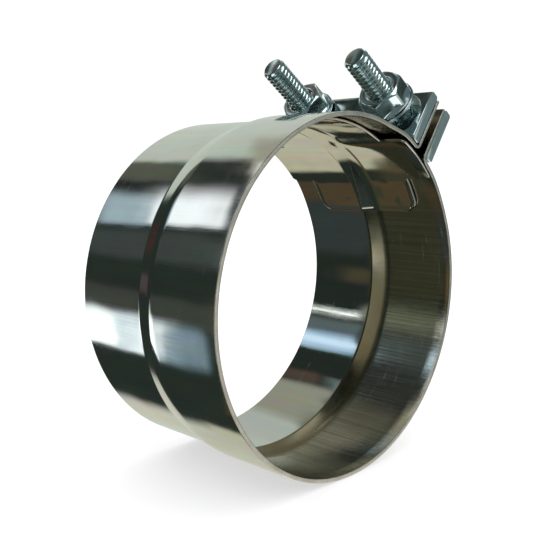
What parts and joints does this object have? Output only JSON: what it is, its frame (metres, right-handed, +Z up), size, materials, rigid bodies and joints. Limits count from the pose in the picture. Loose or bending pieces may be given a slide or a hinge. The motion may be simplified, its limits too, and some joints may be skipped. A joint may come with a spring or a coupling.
{
  "type": "pipe repair clamp",
  "caption": "Wide stepped stainless band clamp for a pipe lap joint, with an inner seal plate, two lug bars, through bolts and flange nuts.",
  "frame": {"origin": "on the bore axis, at the middle of the band's width", "axes": "+Y along the bore from the large end to the small end, +Z up with the bolted lug up and to the right seen from the large end, +X to the right seen from the large end"},
  "size_m": [0.1326, 0.073, 0.1577],
  "materials": {
    "band": "bright rolled stainless, polished outside, fine brushing across the width inside",
    "seal_plate": "bright stainless, finely brushed",
    "bars": "bright zinc plate",
    "bolts": "bright zinc plate on rolled threads",
    "nuts": "bright zinc plate"
  },
  "bodies": {
    "head_side": {"band_head_side": "band", "head_bar": "bars", "bolt_front": "bolts", "bolt_back": "bolts"},
    "nut_side": {"band_nut_side": "band", "nut_bar": "bars"},
    "seal": {"seal_plate": "seal_plate"},
    "front_washer": {"washer_front": "nuts"},
    "front_nut": {"nut_front": "nuts"},
    "back_washer": {"washer_back": "nuts"},
    "back_nut": {"nut_back": "nuts"}
  },
  "joints": [
    {"name": "band_close", "type": "hinge", "parent": "head_side", "child": "nut_side", "pos_m": [-0.04029, 0, -0.05101], "axis": [0, 1, 0], "range_deg": [0, 1.4], "stiffness_Nm_per_rad": 16.8},
    {"name": "seal_flex", "type": "hinge", "parent": "head_side", "child": "seal", "pos_m": [0.05718, 0, 0.02876], "axis": [0, -1, 0], "range_deg": [0, 1.3]},
    {"name": "front_washer_run", "type": "slide", "parent": "head_side", "child": "front_washer", "axis": [0.8192, 0, -0.5736], "range_m": [-0.018, 0.0031]},
    {"name": "front_nut_turn", "type": "hinge", "parent": "front_washer", "child": "front_nut", "pos_m": [0.03723, -0.0214, 0.07427], "axis": [0.8192, 0, -0.5736], "range_deg": [-3230, 555]},
    {"name": "back_washer_run", "type": "slide", "parent": "head_side", "child": "back_washer", "axis": [0.8192, 0, -0.5736], "range_m": [-0.0205, 0.0006]},
    {"name": "back_nut_turn", "type": "hinge", "parent": "back_washer", "child": "back_nut", "pos_m": [0.03886, 0.0214, 0.07312], "axis": [0.8192, 0, -0.5736], "range_deg": [-3680, 107]}
  ],
  "couplings": [
    {"joint": "seal_flex", "follows": "band_close", "ratio": 0.85},
    {"joint": "front_washer_run", "follows": "front_nut_turn", "m_per_rad": 0.00031831},
    {"joint": "back_washer_run", "follows": "back_nut_turn", "m_per_rad": 0.00031831}
  ]
}
